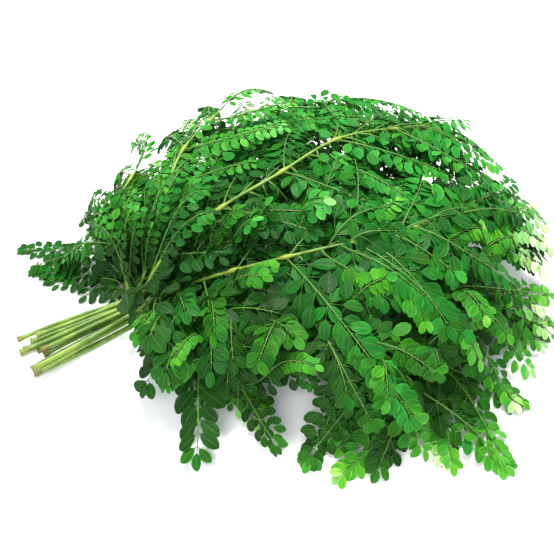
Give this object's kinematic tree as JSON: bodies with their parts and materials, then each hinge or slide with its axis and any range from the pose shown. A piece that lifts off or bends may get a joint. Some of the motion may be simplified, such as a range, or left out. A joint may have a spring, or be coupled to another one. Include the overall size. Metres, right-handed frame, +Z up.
{
  "type": "moringa bunch",
  "caption": "Loose bunch of cut moringa fronds lying in a heap: pale stalks bundled at one end, fanning out into side fronds of paired oval leaflets.",
  "frame": {"origin": "centre of the bunch's footprint box, on the surface that it lies on", "axes": "+X along the bunch from the cut stalk ends to the leafy tips, +Z up from the surface, +Y across the bunch"},
  "size_m": [0.5522, 0.5114, 0.1428],
  "materials": {
    "frond_01": "soft matte deep green leaf with a pale stalk",
    "frond_02": "soft matte green leaf with a pale stalk",
    "frond_03": "soft matte green leaf with a pale stalk",
    "frond_04": "soft matte green leaf with a pale stalk",
    "frond_05": "soft matte deep green leaf with a pale stalk",
    "frond_06": "soft matte green leaf with a pale stalk",
    "frond_07": "soft matte green leaf with a pale stalk",
    "frond_08": "soft matte pale green leaf with a pale stalk",
    "frond_09": "soft matte pale green leaf with a pale stalk",
    "frond_10": "soft matte pale green leaf with a pale stalk",
    "frond_11": "soft matte green leaf with a pale stalk",
    "frond_12": "soft matte green leaf with a pale stalk"
  },
  "bodies": {
    "root": {"frond_01": "frond_01", "frond_02": "frond_02", "frond_03": "frond_03", "frond_04": "frond_04", "frond_05": "frond_05", "frond_06": "frond_06", "frond_07": "frond_07", "frond_08": "frond_08", "frond_09": "frond_09", "frond_10": "frond_10", "frond_11": "frond_11", "frond_12": "frond_12"}
  },
  "joints": []
}
